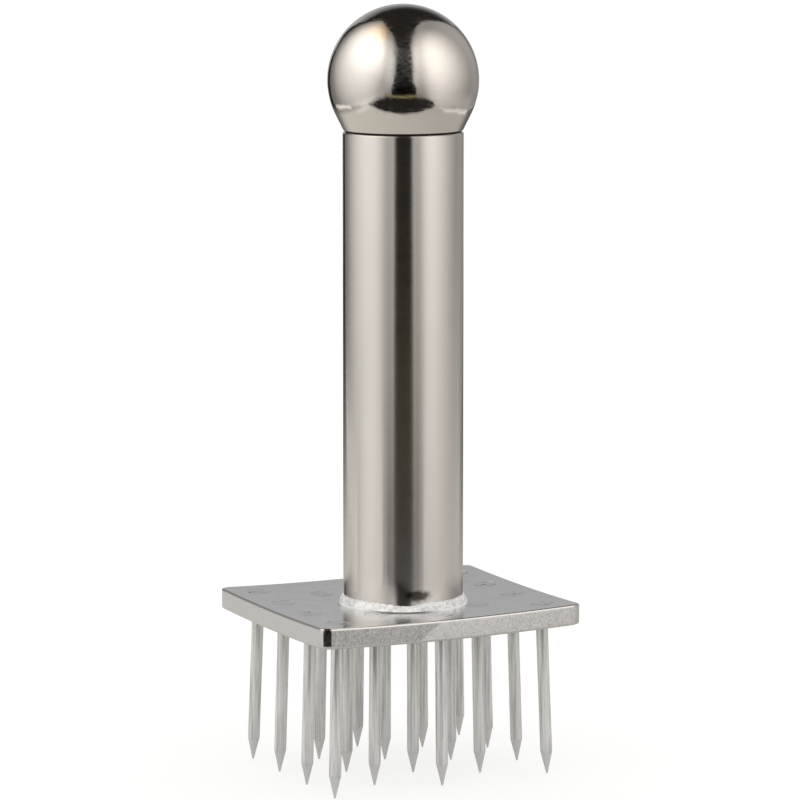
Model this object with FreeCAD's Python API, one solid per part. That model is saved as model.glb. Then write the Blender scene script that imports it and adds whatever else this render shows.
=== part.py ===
# Pin meat tenderizer, all stainless steel. A thick plate carries staggered rows of pointed pins,
# and a round tube handle with a hollow ball knob is welded on top of it.
#
# Millimetres. +Z runs up the handle and the long side of the plate lies along X. The pin tips
# are ground level at z = 0, under the middle of the plate.
#
# The heat of the handle weld draws the rim of the plate up into a shallow dish. The pins stand
# square to the dished face, so they fan out: every axis passes through the centre of the dish.
import FreeCAD, Part
import math
import os

# ---- plate ----
PLATE_LENGTH = 76.5
PLATE_WIDTH = 65.0
PLATE_THICKNESS = 5.5
PLATE_CORNER_RADIUS = 2.5
PLATE_EDGE_CHAMFER = 0.4
PLATE_RISE = 1.3  # how far the corners stand above the middle of the dished plate

# ---- pins ----
PINS_IN_ROWS = (4, 3, 4, 3, 4)  # rows run across the plate and are staggered by half a pitch
PIN_RADIUS = 1.6
PIN_PROJECTION = 40.0  # from the tips to the underside, at the middle of the plate
PIN_POINT_LENGTH = 6.0
PIN_TIP_RADIUS = 0.2
PIN_END_MARGIN = 8.1  # from the short edge of the plate to the first row
PIN_SIDE_MARGIN = 8.2  # from the long edge of the plate to the first pin of a full row
PIN_HOLE_CLEARANCE = 0.1

# ---- plug welds, which fill the countersinks above the pins and are ground flush ----
PLUG_WELD_WIDTH = 1.7  # how far a countersink is wider than its pin, all round
PLUG_WELD_DEPTH = 1.8

# ---- tube handle ----
TUBE_RADIUS = 16.0
TUBE_WALL = 1.5
TUBE_LENGTH = 126.1
TUBE_TOP_CHAMFER = 0.35
HANDLE_OFFSET_Y = -2.5  # the handle is welded on this far off the middle of the plate

# ---- fillet weld round the foot of the handle ----
FOOT_WELD_HEIGHT = 2.4
FOOT_WELD_WIDTH = 1.1
FOOT_WELD_BULGE = 0.2

# ---- ball knob ----
KNOB_RADIUS = 20.0
KNOB_WALL = 1.2
KNOB_SKIRT = 5.1  # straight cone below the ball, tangent to it, down to the tube
KNOB_RIM_SETBACK = 0.4  # how far the rim of the skirt lies inside the wall of the tube
KNOB_RIM_CHAMFER = 0.6  # broken edge of the rim, which leaves a groove above the tube

# ---- turned spigot that locates the knob on the tube ----
SPIGOT_WALL = 2.5
SPIGOT_DEPTH = 12.0  # down into the tube
SPIGOT_RISE = 3.0  # up into the knob
SPIGOT_TUBE_CLEARANCE = 0.05
SPIGOT_KNOB_CLEARANCE = 0.1

# ---- directions and tools ----
X_AXIS = FreeCAD.Vector(1, 0, 0)
Z_AXIS = FreeCAD.Vector(0, 0, 1)
ORIGIN = FreeCAD.Vector(0, 0, 0)
FULL_TURN = 360
CUTTER_SPARE = 2.0  # how far a cutting tool runs past the face that it cuts
GRINDER_SIZE = 2 * (PLATE_LENGTH + PLATE_WIDTH)
HANDLE_PLACE = FreeCAD.Vector(0, HANDLE_OFFSET_Y, 0)

# ---- levels, radii and angles that follow from these ----
PLATE_UNDERSIDE_Z = PIN_PROJECTION
PLATE_TOP_Z = PLATE_UNDERSIDE_Z + PLATE_THICKNESS
PLATE_HALF_DIAGONAL = math.hypot(PLATE_LENGTH, PLATE_WIDTH) / 2
DISH_RADIUS = (PLATE_HALF_DIAGONAL**2 + PLATE_RISE**2) / (2 * PLATE_RISE)
DISH_CENTRE = FreeCAD.Vector(0, 0, PLATE_TOP_Z + DISH_RADIUS)
TUBE_TOP_Z = PLATE_TOP_Z + TUBE_LENGTH
TUBE_BORE_RADIUS = TUBE_RADIUS - TUBE_WALL
KNOB_RIM_RADIUS = TUBE_RADIUS - KNOB_RIM_SETBACK
KNOB_DROP = math.sqrt(KNOB_RADIUS**2 + KNOB_SKIRT**2 - KNOB_RIM_RADIUS**2)  # ball centre to rim
KNOB_CENTRE_Z = TUBE_TOP_Z + KNOB_DROP
KNOB_SKIRT_ANGLE = math.atan2(KNOB_SKIRT, KNOB_RADIUS) - math.atan2(KNOB_DROP, KNOB_RIM_RADIUS)
PIN_HOLE_RADIUS = PIN_RADIUS + PIN_HOLE_CLEARANCE
PLUG_WELD_RADIUS = PIN_RADIUS + PLUG_WELD_WIDTH


def profile_point(radius, z):
    """A point of a turned profile, which is drawn in the XZ plane."""
    return FreeCAD.Vector(radius, 0, z)


def turned(edges):
    """The solid that a closed profile of edges sweeps round the Z axis."""
    return Part.Face(Part.Wire(edges)).revolve(ORIGIN, Z_AXIS, FULL_TURN)


def turned_polygon(points):
    """The solid that a closed polygon of (radius, z) points sweeps round the Z axis."""
    corners = [profile_point(radius, z) for radius, z in points]
    outline = Part.makePolygon(corners + corners[:1])
    return turned(outline.Edges)


def dish_ball(radius):
    """A ball about the centre of the dish, turned so that its poles and seam miss the plate."""
    return Part.makeSphere(radius, DISH_CENTRE, X_AXIS)


def dish_z(radius):
    """Level of the plate's top face at a distance from the middle of the plate."""
    return DISH_CENTRE.z - math.sqrt(DISH_RADIUS**2 - radius**2)


def pin_places():
    """Row number, number in the row, x and y of each pin on the top face of the plate."""
    longest_row = max(PINS_IN_ROWS)
    row_pitch = (PLATE_LENGTH - 2 * PIN_END_MARGIN) / (len(PINS_IN_ROWS) - 1)
    pin_pitch = (PLATE_WIDTH - 2 * PIN_SIDE_MARGIN) / (longest_row - 1)
    for row, count in enumerate(PINS_IN_ROWS):
        x = (row - (len(PINS_IN_ROWS) - 1) / 2) * row_pitch
        for number in range(count):
            y = ((count - 1) / 2 - number) * pin_pitch
            yield row + 1, number + 1, x, y


def pin_placement(x, y):
    """Placement at (x, y) on the top face, with its Z axis pointing at the centre of the dish."""
    foot = FreeCAD.Vector(x, y, dish_z(math.hypot(x, y)))
    return FreeCAD.Placement(foot, FreeCAD.Rotation(Z_AXIS, DISH_CENTRE - foot))


def pin(placement):
    """A round pin from the foot of its plug weld to its point, which is ground off level at z = 0."""
    lean = placement.Rotation.multVec(Z_AXIS)
    tip = -placement.Base.z / lean.z
    shank_end = tip + PIN_POINT_LENGTH
    sharp_end = shank_end - PIN_POINT_LENGTH * PIN_RADIUS / (PIN_RADIUS - PIN_TIP_RADIUS)
    blank = turned_polygon([
        (0, -PLUG_WELD_DEPTH),
        (PIN_RADIUS, -PLUG_WELD_DEPTH),
        (PIN_RADIUS, shank_end),
        (0, sharp_end),
    ])
    blank.Placement = placement
    grinder_corner = FreeCAD.Vector(-GRINDER_SIZE / 2, -GRINDER_SIZE / 2, -GRINDER_SIZE)
    grinder = Part.makeBox(GRINDER_SIZE, GRINDER_SIZE, GRINDER_SIZE, grinder_corner)
    return blank.cut(grinder)


def plug_weld(placement):
    """Weld metal that fills one countersink, from the end of the pin to the top face."""
    plug = turned_polygon([
        (0, 0),
        (PLUG_WELD_RADIUS, 0),
        (PIN_HOLE_RADIUS, -PLUG_WELD_DEPTH),
        (0, -PLUG_WELD_DEPTH),
    ])
    plug.Placement = placement
    return plug


def pin_hole(placement):
    """Cutter for the hole and countersink of one pin."""
    bottom = -(PLATE_THICKNESS + CUTTER_SPARE)
    cutter = turned_polygon([
        (0, CUTTER_SPARE),
        (PLUG_WELD_RADIUS, CUTTER_SPARE),
        (PLUG_WELD_RADIUS, 0),
        (PIN_HOLE_RADIUS, -PLUG_WELD_DEPTH),
        (PIN_HOLE_RADIUS, bottom),
        (0, bottom),
    ])
    cutter.Placement = placement
    return cutter


def is_upright(edge):
    """Whether a straight edge runs along Z."""
    run = edge.Vertexes[0].Point - edge.Vertexes[-1].Point
    return run.isEqual(Z_AXIS * run.z, Part.Precision.confusion())


def needle_plate(placements):
    """Rectangular plate with rounded corners and broken edges, dished, with a hole for each pin."""
    low = PLATE_UNDERSIDE_Z - CUTTER_SPARE
    high = PLATE_TOP_Z + PLATE_RISE + CUTTER_SPARE
    corner = FreeCAD.Vector(-PLATE_LENGTH / 2, -PLATE_WIDTH / 2, low)
    blank = Part.makeBox(PLATE_LENGTH, PLATE_WIDTH, high - low, corner)
    blank = blank.makeFillet(PLATE_CORNER_RADIUS, list(filter(is_upright, blank.Edges)))
    dished = blank.common(dish_ball(DISH_RADIUS + PLATE_THICKNESS)).cut(dish_ball(DISH_RADIUS))
    dished_faces = [face for face in dished.Faces if isinstance(face.Surface, Part.Sphere)]
    outline = [edge for face in dished_faces for edge in face.Edges]
    dished = dished.makeChamfer(PLATE_EDGE_CHAMFER, outline)
    return dished.cut([pin_hole(placement) for placement in placements])


def handle_tube():
    """Round tube, its foot dressed to the dished plate and its top edge chamfered."""
    foot = PLATE_TOP_Z - CUTTER_SPARE
    tube = turned_polygon([
        (TUBE_BORE_RADIUS, foot),
        (TUBE_RADIUS, foot),
        (TUBE_RADIUS, TUBE_TOP_Z - TUBE_TOP_CHAMFER),
        (TUBE_RADIUS - TUBE_TOP_CHAMFER, TUBE_TOP_Z),
        (TUBE_BORE_RADIUS, TUBE_TOP_Z),
    ])
    return tube.translated(HANDLE_PLACE).common(dish_ball(DISH_RADIUS))


def handle_weld():
    """Convex fillet weld between the tube and the top face of the plate."""
    toe_radius = TUBE_RADIUS + FOOT_WELD_WIDTH
    foot_z = dish_z(math.hypot(TUBE_RADIUS, HANDLE_OFFSET_Y))
    toe_z = dish_z(math.hypot(toe_radius, HANDLE_OFFSET_Y))
    top = profile_point(TUBE_RADIUS, foot_z + FOOT_WELD_HEIGHT)
    toe = profile_point(toe_radius, toe_z)
    chord = (toe - top).normalize()
    crown = (top + toe) / 2 + profile_point(-chord.z, chord.x) * FOOT_WELD_BULGE
    root_z = PLATE_TOP_Z - CUTTER_SPARE
    root = profile_point(TUBE_RADIUS, root_z)
    below_toe = profile_point(toe_radius, root_z)
    bead = turned([
        Part.Arc(top, crown, toe).toShape(),
        Part.makeLine(toe, below_toe),
        Part.makeLine(below_toe, root),
        Part.makeLine(root, top),
    ])
    return bead.translated(HANDLE_PLACE).common(dish_ball(DISH_RADIUS))


def skirt_foot_radius(radius):
    """Radius at the rim of the straight skirt below a ball of the given radius."""
    return (radius + KNOB_DROP * math.sin(KNOB_SKIRT_ANGLE)) / math.cos(KNOB_SKIRT_ANGLE)


def ball_outline(radius):
    """Arc of a ball from its top to its skirt, with the arc's two ends and the skirt's foot."""
    def on_ball(angle):
        return profile_point(radius * math.cos(angle), KNOB_CENTRE_Z + radius * math.sin(angle))

    top = profile_point(0, KNOB_CENTRE_Z + radius)
    shoulder = on_ball(KNOB_SKIRT_ANGLE)
    foot = profile_point(skirt_foot_radius(radius), TUBE_TOP_Z)
    arc = Part.Arc(top, on_ball(0), shoulder).toShape()
    return arc, top, shoulder, foot


def ball_knob():
    """Hollow ball of even wall with a short straight skirt that stands on the tube."""
    outer_arc, outer_top, outer_shoulder, outer_foot = ball_outline(KNOB_RADIUS)
    inner_arc, inner_top, inner_shoulder, inner_foot = ball_outline(KNOB_RADIUS - KNOB_WALL)
    up_the_skirt = (outer_shoulder - outer_foot).normalize()
    chamfer_top = outer_foot + up_the_skirt * KNOB_RIM_CHAMFER
    chamfer_foot = outer_foot - X_AXIS * KNOB_RIM_CHAMFER
    knob = turned([
        outer_arc,
        Part.makeLine(outer_shoulder, chamfer_top),
        Part.makeLine(chamfer_top, chamfer_foot),
        Part.makeLine(chamfer_foot, inner_foot),
        Part.makeLine(inner_foot, inner_shoulder),
        inner_arc,
        Part.makeLine(inner_top, outer_top),
    ])
    return knob.translated(HANDLE_PLACE)


def knob_spigot():
    """Turned ring, a fit in the bore of the tube below and in the mouth of the knob above."""
    tube_fit = TUBE_BORE_RADIUS - SPIGOT_TUBE_CLEARANCE
    knob_fit = skirt_foot_radius(KNOB_RADIUS - KNOB_WALL) - SPIGOT_KNOB_CLEARANCE
    bore = tube_fit - SPIGOT_WALL
    bottom = TUBE_TOP_Z - SPIGOT_DEPTH
    top = TUBE_TOP_Z + SPIGOT_RISE
    spigot = turned_polygon([
        (bore, bottom),
        (tube_fit, bottom),
        (tube_fit, TUBE_TOP_Z),
        (knob_fit, TUBE_TOP_Z),
        (knob_fit, top),
        (bore, top),
    ])
    return spigot.translated(HANDLE_PLACE)


def build():
    """Every piece by name."""
    places = {(row, number): pin_placement(x, y) for row, number, x, y in pin_places()}
    pieces = {
        "ball_knob": ball_knob(),
        "knob_spigot": knob_spigot(),
        "handle_tube": handle_tube(),
        "handle_weld": handle_weld(),
        "needle_plate": needle_plate(places.values()),
        "plug_welds": Part.makeCompound([plug_weld(placement) for placement in places.values()]),
    }
    for (row, number), placement in places.items():
        pieces[f"pin_row{row}_{number}"] = pin(placement)
    return pieces


os.makedirs("parts", exist_ok=True)
for name, shape in build().items():
    shape.exportStep(f"parts/{name}.step")
    box = shape.BoundBox
    print(f"{name:14s} solids {len(shape.Solids):2d} valid {shape.isValid()} volume {shape.Volume:10.2f}"
          f"  x {box.XMin:7.2f} {box.XMax:7.2f}  y {box.YMin:7.2f} {box.YMax:7.2f}"
          f"  z {box.ZMin:7.2f} {box.ZMax:7.2f}")
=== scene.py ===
# %% [markdown]
# # Pin meat tenderizer in stainless steel
# A plate full of long pointed pins, a tube handle welded on top and a hollow ball for the palm.
# Everything is the same metal, so the lesson is about finishes: a mirror-buffed ball, a satin tube,
# a ground plate with sawn edges, a silvery weld bead and drawn pins with ground points.
# The CAD model comes in first and stays where it is. Every piece made here takes its place from it.

# %% Load the CAD frame
import math

import bmesh
import bpy
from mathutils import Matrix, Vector


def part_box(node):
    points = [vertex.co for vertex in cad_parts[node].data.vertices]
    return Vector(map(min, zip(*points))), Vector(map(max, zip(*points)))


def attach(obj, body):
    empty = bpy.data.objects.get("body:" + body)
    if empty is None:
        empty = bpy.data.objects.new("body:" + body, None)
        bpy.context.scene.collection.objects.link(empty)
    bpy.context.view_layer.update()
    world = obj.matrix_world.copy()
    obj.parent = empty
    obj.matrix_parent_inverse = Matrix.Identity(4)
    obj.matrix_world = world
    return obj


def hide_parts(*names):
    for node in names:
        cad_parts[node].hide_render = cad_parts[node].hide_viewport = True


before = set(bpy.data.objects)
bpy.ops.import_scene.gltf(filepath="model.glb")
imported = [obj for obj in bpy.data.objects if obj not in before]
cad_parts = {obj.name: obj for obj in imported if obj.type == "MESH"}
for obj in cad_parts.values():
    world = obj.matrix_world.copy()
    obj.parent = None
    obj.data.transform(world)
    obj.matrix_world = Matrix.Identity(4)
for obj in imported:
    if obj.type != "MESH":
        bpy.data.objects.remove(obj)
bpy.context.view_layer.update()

# %% [markdown]
# ## Sizes
# Blender works in metres and this tool is drawn in millimetres, so one constant turns them over.
# What the boxes of the CAD nodes can tell is read from them. The rest are the maker's own sizes.

# %% Driving sizes
MM = 0.001
BALL_WALL = 1.2 * MM
SKIRT_LENGTH = 5.1 * MM
RIM_SETBACK = 0.4 * MM
RIM_CHAMFER = 0.6 * MM
TUBE_WALL = 1.5 * MM
TUBE_TOP_CHAMFER = 0.35 * MM
WELD_HEIGHT = 2.4 * MM
PLATE_THICKNESS = 5.5 * MM
PLATE_RISE = 1.3 * MM  # the corners of the dished plate stand this far above its middle
PLATE_CORNER_RADIUS = 2.5 * MM
PLATE_EDGE_ROUND = 0.6 * MM
PIN_ROWS = 5
PINS_IN_FULL_ROW = 4
PIN_END_MARGIN = 8.1 * MM
PIN_SIDE_MARGIN = 8.2 * MM
PIN_PROJECTION = 40.0 * MM
PIN_RADIUS = 1.6 * MM
PIN_POINT_LENGTH = 6.0 * MM
PIN_TIP_RADIUS = 0.2 * MM
PIN_HOLE_CLEARANCE = 0.1 * MM
PLUG_RADIUS = 3.3 * MM
PLUG_DEPTH = 1.8 * MM

plate_low, plate_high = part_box("needle_plate")
tube_low, tube_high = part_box("handle_tube")
ball_low, ball_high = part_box("ball_knob")
weld_low, weld_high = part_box("handle_weld")

PLATE_LENGTH = plate_high.x - plate_low.x
PLATE_WIDTH = plate_high.y - plate_low.y
TUBE_RADIUS = (tube_high.x - tube_low.x) / 2
HANDLE = Vector((0, (tube_low.y + tube_high.y) / 2, 0))  # the axis of the handle
BALL_RADIUS = (ball_high.x - ball_low.x) / 2
BALL_CENTRE_Z = ball_high.z - BALL_RADIUS
SEAM_Z = tube_high.z
WELD_TOE_RADIUS = (weld_high.x - weld_low.x) / 2
print("plate", round(PLATE_LENGTH / MM, 2), "x", round(PLATE_WIDTH / MM, 2), "mm")
print("ball centre at", round(BALL_CENTRE_Z / MM, 2), "mm, seam at", round(SEAM_Z / MM, 2), "mm")
print("handle", round(HANDLE.y / MM, 2), "mm off the middle of the plate")

# %% [markdown]
# ## The dish
# The heat of the handle weld pulls the rim of the plate up, so its top face is a piece of a large
# ball. One function gives its height anywhere, and the plate, the weld and the pins all use it.

# %% Height of the dished top face
half_diagonal = math.hypot(PLATE_LENGTH, PLATE_WIDTH) / 2
DISH_RADIUS = (half_diagonal**2 + PLATE_RISE**2) / (2 * PLATE_RISE)
DISH_CENTRE_Z = PIN_PROJECTION + PLATE_THICKNESS + DISH_RADIUS


def dish_z(x, y, below=0.0):
    """Height of the dished top face over a point of the floor, or of a face further down."""
    return DISH_CENTRE_Z - math.sqrt((DISH_RADIUS + below) ** 2 - x**2 - y**2)


print("dish radius", round(DISH_RADIUS / MM, 1), "mm")

# %% [markdown]
# ## Camera
# A product camera with a long lens, slightly above the plate and a little round from its long side.
# The long lens keeps the sides of the tube parallel.

# %% Camera
CAMERA_AZIMUTH = math.radians(-26.772)
CAMERA_ELEVATION = math.radians(8.28)
CAMERA_DISTANCE = 1103.36 * MM
CAMERA_AIM_Z = 99.753 * MM
CAMERA_AIM_SIDE = 0.29 * MM
SENSOR_WIDTH = 36.0
FOCAL_IN_FRAME_WIDTHS = 4140.47 / 800

TO_CAMERA = Vector((math.sin(CAMERA_AZIMUTH), -math.cos(CAMERA_AZIMUTH), 0))
TO_RIGHT = Vector((math.cos(CAMERA_AZIMUTH), math.sin(CAMERA_AZIMUTH), 0))
UP = Vector((0, 0, 1))

camera_data = bpy.data.cameras.new("product_camera")
camera_data.sensor_width = SENSOR_WIDTH
camera_data.lens = SENSOR_WIDTH * FOCAL_IN_FRAME_WIDTHS
camera = bpy.data.objects.new("product_camera", camera_data)
bpy.context.scene.collection.objects.link(camera)
camera_back = TO_CAMERA * math.cos(CAMERA_ELEVATION) + UP * math.sin(CAMERA_ELEVATION)
camera.location = UP * CAMERA_AIM_Z + TO_RIGHT * CAMERA_AIM_SIDE + camera_back * CAMERA_DISTANCE
camera.rotation_euler = camera_back.to_track_quat("Z", "Y").to_euler()
bpy.context.scene.camera = camera
bpy.context.scene.view_settings.view_transform = "Standard"
print("lens", round(camera_data.lens, 1), "mm at", round(CAMERA_DISTANCE, 3), "m")

# %% [markdown]
# ## Small helpers
# Colours are written as the hex values of a paint chart and turned to linear light by one function.
# Another adds a node with its settings and links, and a few more stand for the kinds of node that
# come up most, which keeps every material short enough to read.
# A node may be given where an input wants an output: its first output in use is the one meant.

# %% Helpers


def linear(colour):
    """Linear red, green, blue and alpha of an sRGB hex colour such as "C8C4BE"."""
    parts = [int(colour[i:i + 2], 16) / 255 for i in (0, 2, 4)]
    return [c / 12.92 if c <= 0.04045 else ((c + 0.055) / 1.055) ** 2.4 for c in parts] + [1.0]


def feed(node, inputs):
    """Fills a node's inputs. Each one gets a value, a hex colour, an output socket or a node."""
    for name, value in inputs.items():
        if isinstance(value, str):
            value = linear(value)
        elif isinstance(value, bpy.types.Node):
            value = next(socket for socket in value.outputs if socket.enabled)
        if isinstance(value, bpy.types.NodeSocket):
            node.id_data.links.new(value, node.inputs[name])
        else:
            node.inputs[name].default_value = value


def add_node(tree, kind, inputs=None, **settings):
    """Adds a node with its settings and fills its inputs."""
    node = tree.nodes.new(kind)
    for name, value in settings.items():
        setattr(node, name, value)
    feed(node, inputs or {})
    return node


def maths(tree, operation, *values):
    """Adds a math node."""
    return add_node(tree, "ShaderNodeMath", dict(enumerate(values)), operation=operation)


def vectors(tree, operation, *values, **scale):
    """Adds a vector math node."""
    return add_node(tree, "ShaderNodeVectorMath", {**dict(enumerate(values)), **scale},
                    operation=operation)


def ramp(tree, value, start, end, low=0.0, high=1.0, **settings):
    """Maps a value's run from start to end onto low to high, where it stops unless unclamped."""
    return add_node(tree, "ShaderNodeMapRange", {
        "Value": value, "From Min": start, "From Max": end, "To Min": low, "To Max": high},
        **settings)


def eased(*span):
    """A ramp with a soft start and a soft end."""
    return ramp(*span, interpolation_type="SMOOTHSTEP")


def noise(tree, place, size, **more):
    """Adds noise whose largest shapes have the size given."""
    return add_node(tree, "ShaderNodeTexNoise", {"Vector": place, "Scale": 1 / size, **more})


def blend(tree, share, first, second):
    """Mixes two colours."""
    return add_node(tree, "ShaderNodeMix", {"Factor": share, "A": first, "B": second},
                    data_type="RGBA")


def empty_material(name):
    """A new material with an empty node tree."""
    material = bpy.data.materials.new(name)
    material.use_nodes = True
    material.node_tree.nodes.clear()
    return material, material.node_tree


print("linear light of mid grey:", round(linear("808080")[0], 3))

# %% [markdown]
# ## The white room
# Polished steel has hardly any colour of its own: it shows the room. The world is plain white at a
# strength of 1, so that colours come out about as they are written.

# %% World
world = bpy.data.worlds.new("white_room")
bpy.context.scene.world = world
world.use_nodes = True
world.node_tree.nodes.clear()
room = add_node(world.node_tree, "ShaderNodeBackground", {"Color": "FFFFFF",
                                                          "Strength": 1.0})
add_node(world.node_tree, "ShaderNodeOutputWorld", {"Surface": room})
print("world strength", room.inputs["Strength"].default_value)

# %% [markdown]
# ## The floor
# The floor is one large sheet of white paper. It could be a curved sweep, but a flat sheet that
# runs to the white horizon looks the same and is simpler. A little glow of its own keeps it as
# white as the room where it is seen, and what it still takes from the room makes the soft shadow.

# %% Floor


def card(name, material, outline, **plane):
    """A flat card that only reflections see. One of front, right and up is given for all of it.

    The outline gives the other two, in metres from the middle of the tool's floor.
    """
    points = []
    for pair in outline:
        given = iter(pair)
        front, right, up = (plane[way] if way in plane else next(given)
                            for way in ("front", "right", "up"))
        points.append(TO_CAMERA * front + TO_RIGHT * right + UP * up)
    mesh = bpy.data.meshes.new(name)
    mesh.from_pydata(points, [], [list(range(len(points)))])
    mesh.materials.append(material)
    piece = bpy.data.objects.new(name, mesh)
    bpy.context.scene.collection.objects.link(piece)
    piece.visible_camera = piece.visible_diffuse = piece.visible_shadow = False
    return piece


def oblong(first, second, low, high):
    """Outline of an oblong card, from first to second one way and from low to high the other."""
    return [(first, low), (second, low), (second, high), (first, high)]


def where_it_shows(tree):
    """1 for rays of the camera and for rays that a mirror or a glass sends on, 0 for the rest."""
    path = add_node(tree, "ShaderNodeLightPath").outputs
    seen = path["Is Camera Ray"]
    for ray in ("Is Glossy Ray", "Is Transmission Ray"):
        seen = maths(tree, "MAXIMUM", seen, path[ray])
    return seen


FLOOR_HALF = 8.0
FLOOR_GLOW = 0.76

paper, tree = empty_material("white_paper_floor")
glow_strength = maths(tree, "MULTIPLY", where_it_shows(tree), FLOOR_GLOW)
sheet = add_node(tree, "ShaderNodeBsdfDiffuse", {"Color": "8E8D8B"})
glow = add_node(tree, "ShaderNodeEmission", {"Color": "FFFFFF", "Strength": glow_strength})
both = add_node(tree, "ShaderNodeAddShader", {0: sheet, 1: glow})
add_node(tree, "ShaderNodeOutputMaterial", {"Surface": both})
floor = card("floor", paper, oblong(FLOOR_HALF, -FLOOR_HALF, FLOOR_HALF, -FLOOR_HALF), up=0)
floor.visible_camera = floor.visible_diffuse = floor.visible_shadow = True
floor.visible_glossy = False
print("floor", 2 * FLOOR_HALF, "m wide")

# %% [markdown]
# ## The studio in the metal
# A mirror ball shows everything round it, so the studio is built as a real one: the tool stands on
# a small beige table between two tall diffusers, in front of a black gap where the camera stands,
# under a black ceiling and before a grey backdrop. Only reflections see these cards.
# An image of a studio could do the same, but cards can be moved one at a time.

# %% Materials of the cards


def along(tree, way):
    """How far a point of a card lies in one direction."""
    place = add_node(tree, "ShaderNodeTexCoord").outputs["Object"]
    return vectors(tree, "DOT_PRODUCT", place, way)


def glow_with(tree, colour, strength):
    """Ends a card's material with its light."""
    lit = add_node(tree, "ShaderNodeEmission", {"Color": colour, "Strength": strength})
    add_node(tree, "ShaderNodeOutputMaterial", {"Surface": lit})


def plain_light(name, colour, strength=1.0):
    """Material of a card that is evenly lit."""
    material, tree = empty_material(name)
    glow_with(tree, colour, strength)
    return material


def lamp_spot(tree, front, up, front_reach, up_reach, strength):
    """Light of one lamp on a diffuser: its centre, its reach each way, and its strength."""
    front_share, up_share = (
        ramp(tree, along(tree, way), centre, centre + reach, clamp=False)
        for way, centre, reach in ((TO_CAMERA, front, front_reach), (UP, up, up_reach)))
    away = add_node(tree, "ShaderNodeCombineXYZ", {"X": front_share, "Y": up_share})
    distance = vectors(tree, "LENGTH", away)
    return eased(tree, distance, 0.0, 1.0, strength, 0.0)


def diffuser(name, colour, base, lamps, peach=None):
    """Material of a diffuser with lamps behind it. One more spot may tint it peach."""
    material, tree = empty_material(name)
    total = base
    for lamp in lamps:
        total = maths(tree, "ADD", lamp_spot(tree, *lamp), total)
    if peach:
        colour = blend(tree, lamp_spot(tree, *peach), colour, "FFE0B4")
    glow_with(tree, colour, total)
    return material


print("lamps are ready")

# %% Two diffusers
LEFT_SIDE, RIGHT_SIDE = -0.343, 0.36

left_light = diffuser("left_diffuser", "FFFCF8", 0.20, (
    (0.10, 0.55, 0.62, 0.66, 1.60), (0.78, 0.77, 1.20, 1.09, 0.72),
    (0.18, 0.00, 0.60, 0.30, 0.32), (1.25, 0.15, 0.70, 0.50, 0.14),
    (-0.15, 1.00, 0.50, 0.45, 0.30), (0.16, -0.02, 0.34, 0.08, 0.30)),
    peach=(0.0, 1.05, 0.60, 0.75, 0.8))
right_light = diffuser("right_diffuser", "FFFBF7", 0.18, (
    (0.23, 0.42, 0.50, 0.75, 1.00), (0.75, 0.85, 0.98, 1.20, 0.88),
    (-0.90, -0.10, 1.40, 1.00, 0.09), (-0.35, 0.46, 0.70, 0.62, 0.26),
    (1.20, 0.10, 0.40, 0.60, 0.34), (0.20, -0.02, 0.40, 0.14, 0.12),
    (-0.18, 0.02, 0.35, 0.11, 0.20), (-0.30, 1.30, 0.90, 0.90, 0.20)))
card("left_panel", left_light, [
    (1.01, -0.178), (0.80, -0.13), (0.60, -0.085), (0.42, -0.045), (0.19, -0.035), (0.17, -0.14),
    (-0.47, -0.14), (-0.50, 0.22), (-0.58, 0.40), (-0.51, 0.54), (-0.44, 0.69), (-0.43, 0.95),
    (-0.43, 1.13), (-0.23, 1.24), (0.0, 1.40), (0.30, 1.60), (0.75, 1.88), (1.78, 2.45),
    (1.73, 0.68), (1.42, 0.20), (1.14, 0.05), (1.08, -0.08)], right=LEFT_SIDE)
card("right_panel", right_light, [
    (1.00, -0.08), (0.99, -0.14), (0.96, -0.19), (0.80, -0.19), (0.64, -0.12), (0.50, -0.065),
    (0.32, -0.06), (0.25, -0.08), (0.20, -0.16), (-1.15, -0.16), (-1.10, 0.0), (-0.86, 0.40),
    (-0.60, 0.60), (-0.49, 0.80), (-0.42, 1.12), (-0.28, 1.47), (0.10, 1.82), (0.60, 2.02),
    (1.25, 2.15), (1.22, 1.25), (1.38, 0.70), (1.38, 0.20), (1.02, 0.05)], right=RIGHT_SIDE)
print("diffusers", round(RIGHT_SIDE - LEFT_SIDE, 2), "m apart")

# %% Table top
TABLE_EDGE = 0.175
TABLE_Z = -0.5 * MM  # just under the floor, so that the tips of the pins don't meet it

table_top, tree = empty_material("beige_table_top")
place = add_node(tree, "ShaderNodeTexCoord").outputs["Object"]
away = vectors(tree, "LENGTH", place)
side = along(tree, TO_RIGHT)
amount = ramp(tree, side, -0.25, 0.2, 0.70, 0.52)
# Painted light and shadow on the glowing card: brighter at the left, painted shadow under the tool
# and at its far end, and darker along its left rim.
for measure, dark_at, full_at, share in (
        (away, 0.03, 0.09, 0.75), (along(tree, TO_CAMERA), -0.55, -0.15, 0.25),
        (side, -0.335, -0.275, 0.55)):
    part = eased(tree, measure, dark_at, full_at, share)
    amount = maths(tree, "MULTIPLY", amount, part)
glow_with(tree, "FFFBF3", amount)
card("table_top", table_top, [
    (TABLE_EDGE, -0.28), (TABLE_EDGE, 0.245), (0.137, 0.267), (0.03, 0.312), (-0.04, 0.335),
    (-0.24, 0.348), (-1.0, 0.356), (-2.5, 0.6), (-2.5, -0.7), (-0.48, -0.383), (0.01, -0.33)],
    up=TABLE_Z)
print("table edge", TABLE_EDGE, "m in front of the tool")

# %% Dark end of the room
# Behind the camera the room is black at the floor and a clouded dark grey further up.
CEILING, PIT = 2.5, -0.7  # heights
CAMERA_END, BACK_WALL = 1.8, -1.2  # distances towards the camera

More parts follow.
